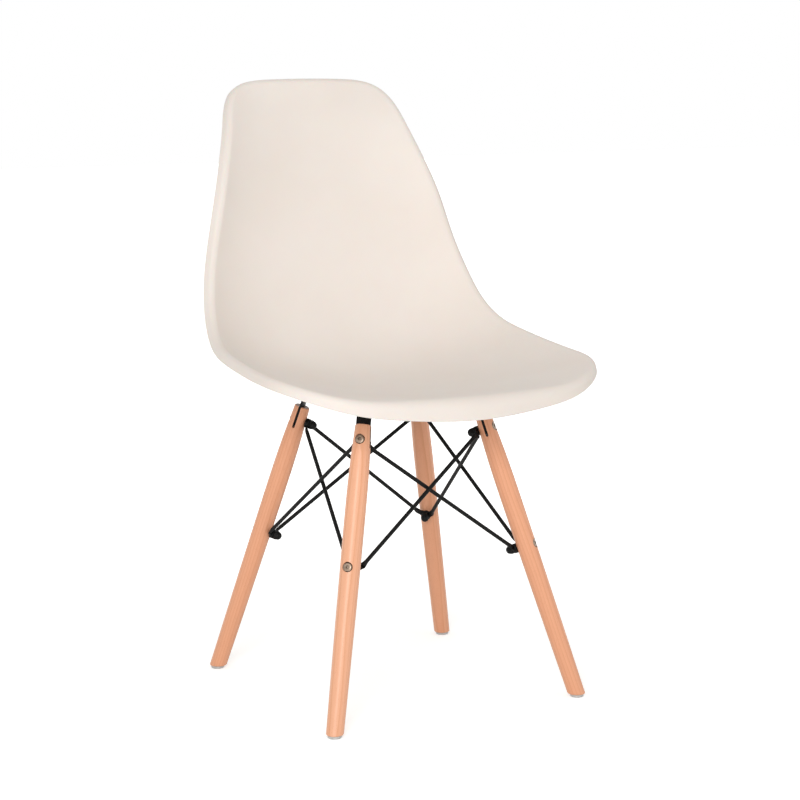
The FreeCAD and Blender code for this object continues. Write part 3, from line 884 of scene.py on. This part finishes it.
def braceMesh(upperAngle, lowerAngle, layer, tangLength, upperSlope):
    out = (layer - 0.5) * eye["thickness"] + (layer - 1) * eye["fit"]
    ends = []
    for angle, otherAngle, drop, slope in (
            (upperAngle, lowerAngle, legs["boltDrops"][0], upperSlope),
            (lowerAngle, upperAngle, legs["boltDrops"][1], brace["lowerSlope"])):
        matrix = legMatrix(angle)
        centre = matrix @ Vector((-eyeSeat(drop) - out, 0, legLength - drop))
        towards = math.sin(math.radians(otherAngle - angle))
        slope = math.radians(slope)
        turn = matrix.to_3x3()
        bend = centre + turn @ Vector((0, towards * math.cos(slope), math.sin(slope))) * tangLength
        ends.append((centre, turn @ Vector((-1, 0, 0)), bend))
    start, end = ends[0][2], ends[1][2]
    along = (end - start).normalized()
    tips = [loft(braceEnd(*ends[0], along)), loft(braceEnd(*ends[1], -along))]
    return tips + [rodBetween(start, end, along)]


def rodBetween(first, last, along):
    side = along.cross(Vector((0, 0, 1))).normalized()
    up = side.cross(along)
    start = first + along * brace["flare"] * brace["rodStart"]
    end = last - along * brace["flare"] * brace["rodStart"]
    rings = []
    for k in range(25):
        rings.append(roundedRing(start.lerp(end, k / 24), side, up, *[brace["radius"]] * 3))
    return loft(rings)


angles = list(corners.values())
for k, sideName in enumerate(("back", "left", "front", "right")):
    pair = angles[k], angles[(k + 1) % 4]
    for layerName, (upperAngle, lowerAngle), layer in (("inner", pair, 2), ("outer", pair[::-1], 1)):
        tang, slope = brace[layerName + "Tang"], brace[layerName + "UpperSlope"]
        parts = braceMesh(upperAngle, lowerAngle, layer, tang, slope)
        rod = joinMeshes("rod_" + sideName + "_" + layerName, parts)
        finishPiece(rod, "black_steel", "brace_" + sideName + "_" + layerName, sharp=50.0)
print("braces made")


# Mounting bars and the fixings under the seat
bars = {
    "width": 0.0195,
    "thickness": 0.0025,
    "lift": 0.018,
    "bendRadius": 0.006,
    "joggle": (0.016, 0.012),
    "endRound": 0.004,
    "endStations": (0.0, 0.0002, 0.0007, 0.0014, 0.0022, 0.0030, 0.004),   # from the end of a tab
    "edgeRound": 0.0005,
}
barHeight = legs["topHeight"] + bars["lift"]


def arcPath(points, radius, steps=8):
    path = [points[0]]
    for before, corner, after in zip(points, points[1:], points[2:]):
        back = (before - corner).normalized()
        ahead = (after - corner).normalized()
        half = back.angle(ahead) / 2
        first = corner + back * (radius / math.tan(half))
        centre = corner + (back + ahead).normalized() * (radius / math.sin(half))
        start = first - centre
        end = corner + ahead * (radius / math.tan(half)) - centre
        for k in range(steps + 1):
            path.append(centre + start.slerp(end, k / steps) * radius)
    path.append(points[-1])
    return path


def withEndStations(path, cuts):
    head = [path[0] + (path[1] - path[0]).normalized() * c for c in cuts]
    tail = [path[-1] + (path[-2] - path[-1]).normalized() * c for c in reversed(cuts)]
    return head + path[1:-1] + tail


def barMesh(angle, joggled):
    tabEnd = legs["slotDepth"] - legs["slotWidth"]
    half = [Vector((topRadius + tabEnd * math.sin(splay), 0, legs["topHeight"] - tabEnd * math.cos(splay))),
            Vector((topRadius - bars["lift"] * math.tan(splay), 0, barHeight))]
    if joggled:
        reach, run = bars["joggle"]
        half.append(Vector((reach + run, 0, barHeight)))
        half.append(Vector((reach, 0, barHeight - bars["thickness"] - eye["fit"])))
    points = half + [Vector((-p.x, 0, p.z)) for p in reversed(half)]
    cuts = bars["endStations"]
    path = withEndStations(arcPath(points, bars["bendRadius"]), cuts)
    side = Vector((0, 1, 0))
    rings = []
    for i, point in enumerate(path):
        along = (path[min(i + 1, len(path) - 1)] - path[max(i - 1, 0)]).normalized()
        short = bars["endRound"] - cuts[min(i, len(path) - 1 - i, len(cuts) - 1)]
        narrow = bars["endRound"] - math.sqrt(max(bars["endRound"] ** 2 - short ** 2, 0))
        rings.append(roundedRing(point, side, along.cross(side).normalized(), bars["width"] / 2 - narrow,
                                 bars["thickness"] / 2, bars["edgeRound"], 4))
    turn = Matrix.Translation((0, legs["centreY"], 0)) @ Matrix.Rotation(math.radians(angle), 4, "Z")
    return placedMesh(loft(rings), turn)


for name, angle, joggled in (("plain", 45.0, False), ("joggled", 135.0, True)):
    finishPiece(joinMeshes("bar_" + name, [barMesh(angle, joggled)]), "black_steel", "mounting_bar_" + name)

fixings = {
    "spread": 0.124,
    "pad": (0.0085, 0.002, 0.0003),          # radius, thickness, edge
    "washer": (0.007, 0.0012, 0.0002),
    "clear": 0.0032,
    "insert": (0.0042, 0.0031, 0.010, 0.0003),        # radii, length, edge
    "screw": (0.006, 0.0036, 0.004, 0.0022, 0.003),   # head, socket and shank, as in socketScrew
    "screwPlay": 0.001,
    "boss": (0.009, 0.0043),                 # radii
    "bossEdge": 0.0004,
    "rib": (0.015, 0.003, 0.009),            # reach, thickness, drop
}
bossBottom = barHeight + bars["thickness"] / 2 + fixings["pad"][1]
bossPlaces = [(x * fixings["spread"] / 2, legs["centreY"] + y * fixings["spread"] / 2)
              for x in (-1, 1) for y in (-1, 1)]


def flatRing(outer, inner, low, high, ease):
    return ringTube([circle(inner, low), circle(outer - ease, low), circle(outer, low + ease),
                     circle(outer, high - ease), circle(outer - ease, high), circle(inner, high)])


def groupAt(part):
    return [placedMesh(part, Matrix.Translation((x, y, 0))) for x, y in bossPlaces]


def addFixings():
    padBottom = barHeight + bars["thickness"] / 2
    radius, thickness, edge = fixings["pad"]
    pad = flatRing(radius, fixings["clear"], padBottom, padBottom + thickness, edge)
    finishPiece(joinMeshes("rubber_pads", groupAt(pad)), "pad_rubber", "seat_pads")
    radius, thickness, edge = fixings["washer"]
    washerBottom = barHeight - bars["thickness"] / 2 - thickness
    washer = flatRing(radius, fixings["clear"], washerBottom, washerBottom + thickness, edge)
    finishPiece(joinMeshes("flat_washers", groupAt(washer)), "fixing_steel", "seat_washers")
    outer, inner, length, edge = fixings["insert"]
    insert = flatRing(outer, inner, bossBottom, bossBottom + length, edge)
    finishPiece(joinMeshes("threaded_inserts", groupAt(insert)), "insert_brass", "seat_inserts")
    reach = bossBottom + length - fixings["screwPlay"] - washerBottom
    screw = placedMesh(socketScrew(*fixings["screw"], reach), Matrix.Translation((0, 0, washerBottom)))
    finishPiece(joinMeshes("shell_screws", groupAt(screw)), "fixing_steel", "seat_screws")


addFixings()
print("mounting bars and fixings made")


# Bosses and ribs moulded under the seat
def seatHeightAt(x, y):
    low, high = -0.95, 0.6
    for _ in range(40):
        along = (low + high) / 2
        turn = math.acos(along)
        share = x / float(rimX(turn))
        point = bowlPoint(np.array(share * math.sin(turn)), np.array(along))
        if point[1] < y:
            low = along
        else:
            high = along
    return float(point[2])


def bossMesh(x, y):
    radius, bore = fixings["boss"]
    top = seatHeightAt(x, y) - shell["wall"] / 2
    edge = fixings["bossEdge"]
    rings = [circle(bore, top), circle(bore, bossBottom), circle(radius - edge, bossBottom),
             circle(radius, bossBottom + edge), circle(radius, top)]
    return placedMesh(ringTube(rings), Matrix.Translation((x, y, 0)))


def ribMesh(x, y, turn):
    reach, thickness, drop = fixings["rib"]
    radius = fixings["boss"][0]
    start, end = radius * 0.9, radius + reach
    startTop, endTop = (seatHeightAt(x + r * math.cos(turn), y + r * math.sin(turn)) - shell["wall"] / 2
                        for r in (start, end))
    outline = [(start, bossBottom + drop), (radius, bossBottom + drop), (end, endTop - shell["wall"] / 2),
               (end, endTop), (start, startTop)]
    slim = thickness / 2
    edge = fixings["bossEdge"]
    rings = []
    for offset, inset in ((-slim, edge), (-slim + edge, 0.0), (slim - edge, 0.0), (slim, edge)):
        rings.append([Vector((r, offset, z + inset)) for r, z in outline])
    matrix = Matrix.Translation((x, y, 0)) @ Matrix.Rotation(turn, 4, "Z")
    return placedMesh(loft(rings), matrix)


bossParts = []
for x, y in bossPlaces:
    bossParts.append(bossMesh(x, y))
    bossParts += [ribMesh(x, y, math.pi / 2 * k) for k in range(4)]
finishPiece(joinMeshes("seat_bosses", bossParts), "shell_plastic", "seat_shell")
print("bosses and ribs made")


# Floor, light and background
studio = {
    "floorReach": 14.0,       # metres each way
    "floorColor": (0.9, 0.9, 0.9),
    "floorGlow": 0.5,         # nearest the chair
    "farGlow": 1.0,
    "glowReach": (0.35, 1.1), # metres from the chair
    "ambient": 0.51,
    "ambientColor": (1.0, 0.99, 0.945),
    "lampAim": (0, 0, 0.45),
    "lamps": [
        # name, place, size, power, colour
        ("key", (-2.1, -2.7, 1.7), 1.5, 56.0, (1.0, 0.98, 0.975)),
        ("fill", (2.2, -2.6, 1.2), 1.8, 9.0, (1.0, 0.985, 0.965)),
    ],
}


def cameraOrGlossy(tree):
    path = addNode(tree, "ShaderNodeLightPath")
    seen = path.outputs["Is Camera Ray"]
    for other in ("Is Glossy Ray", "Is Transmission Ray"):
        seen = scalarMath(tree, "MAXIMUM", seen, path.outputs[other])
    return seen


def addStudio(s):
    mesh = bpy.data.meshes.new("floor")
    half = s["floorReach"]
    mesh.from_pydata([(-half, -half, 0), (half, -half, 0), (half, half, 0), (-half, half, 0)], [],
                     [(0, 1, 2, 3)])
    floor = bpy.data.objects.new("floor", mesh)
    scene.collection.objects.link(floor)
    material, tree, shader = newMaterial("plainFloor", Roughness=0.9, Specular_IOR_Level=0.1)
    soft = noise(tree, objectPoint(tree), 1.5, 1.0)
    pale = s["floorColor"]
    tree.links.new(ramp(tree, soft, [(0.3, tuple(c * 0.99 for c in pale)), (0.7, pale)]),
                   shader.inputs["Base Color"])
    glow = addNode(tree, "ShaderNodeEmission", {"Color": (1, 1, 1, 1)})
    reach = vectorMath(tree, "LENGTH", objectPoint(tree))["Value"]
    level = spread(tree, reach, s["floorGlow"], s["farGlow"], *s["glowReach"])
    strength = scalarMath(tree, "MULTIPLY", cameraOrGlossy(tree), level)
    tree.links.new(strength, glow.inputs["Strength"])
    both = addNode(tree, "ShaderNodeAddShader", {0: shader.outputs[0], 1: glow.outputs[0]})
    tree.links.new(both.outputs[0], tree.nodes["Material Output"].inputs["Surface"])
    mesh.materials.append(material)
    world = bpy.data.worlds.new("studio")
    scene.world = world
    world.use_nodes = True
    sky = world.node_tree
    seen = cameraOrGlossy(sky)
    level = addNode(sky, "ShaderNodeMapRange", {"Value": seen, "To Min": s["ambient"], "To Max": 1.0})
    sky.links.new(level.outputs["Result"], sky.nodes["Background"].inputs["Strength"])
    tint = mixColor(sky, seen, s["ambientColor"], (1.0, 1.0, 1.0))
    sky.links.new(tint, sky.nodes["Background"].inputs["Color"])
    for name, place, size, power, color in s["lamps"]:
        data = bpy.data.lights.new(name, "AREA")
        data.energy = power
        data.color = color
        data.shape = "DISK"
        data.size = size
        lamp = bpy.data.objects.new(name, data)
        scene.collection.objects.link(lamp)
        lamp.location = place
        aim = Vector(s["lampAim"]) - Vector(place)
        lamp.rotation_euler = aim.to_track_quat("-Z", "Y").to_euler()


addStudio(studio)
print("studio made")
